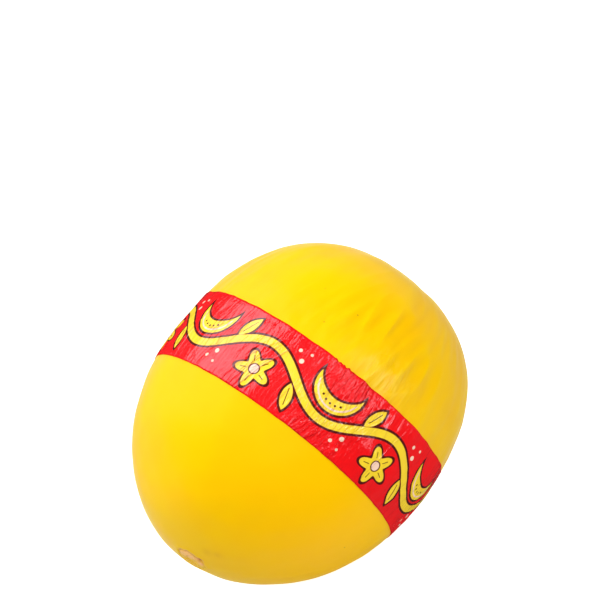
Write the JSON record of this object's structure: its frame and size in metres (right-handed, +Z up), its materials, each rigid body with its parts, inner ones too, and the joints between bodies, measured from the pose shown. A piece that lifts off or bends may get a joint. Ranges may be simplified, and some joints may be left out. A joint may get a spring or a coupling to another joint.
{
  "type": "yellow melon with a printed film band",
  "caption": "Whole oval yellow melon lying on its side, with a short cut stalk in a dimple, a corky blossom scar and a red printed film band shrunk on round its middle.",
  "frame": {"origin": "on the surface that the fruit lies on, under the middle of the bounding box, on the flat spot of the band's underside", "axes": "+X along the fruit towards the cut stalk, -X towards the blossom scar, +Z up"},
  "size_m": [0.1711, 0.1425, 0.1426],
  "materials": {
    "rind": "satin waxy fruit rind, canary yellow turning amber in places",
    "stem": "dry rough cut stalk",
    "film": "glossy thin printed film, finely wrinkled along the fruit"
  },
  "bodies": {
    "root": {"melon": "rind", "stem_stub": "stem", "label_band": "film"}
  },
  "joints": []
}
